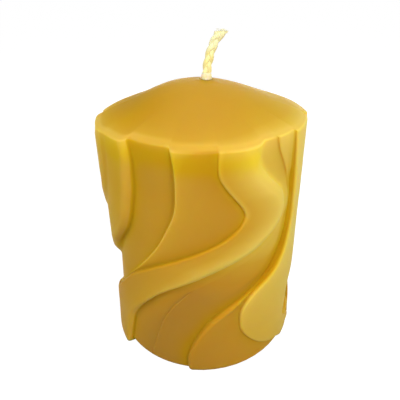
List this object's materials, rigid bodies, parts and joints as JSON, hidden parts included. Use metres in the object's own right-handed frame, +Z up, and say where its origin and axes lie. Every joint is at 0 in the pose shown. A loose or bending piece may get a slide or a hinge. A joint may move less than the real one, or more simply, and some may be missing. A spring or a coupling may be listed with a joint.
{
  "type": "pillar candle",
  "caption": "Short round pillar candle in beeswax with flowing wave bands in relief round its side, a low domed top and a leaning cotton wick.",
  "frame": {"origin": "centre of the base, on the candle's axis, on the surface it stands on", "axes": "+Z up along the candle's axis; -Y is the side with the S-shaped band; the wick's tip leans towards +X"},
  "size_m": [0.068, 0.0656, 0.1065],
  "materials": {
    "beeswax": "translucent amber wax, satin",
    "cotton": "braided cotton yarn primed with wax"
  },
  "bodies": {
    "root": {"wax_body": "beeswax", "wick": "cotton"}
  },
  "joints": []
}
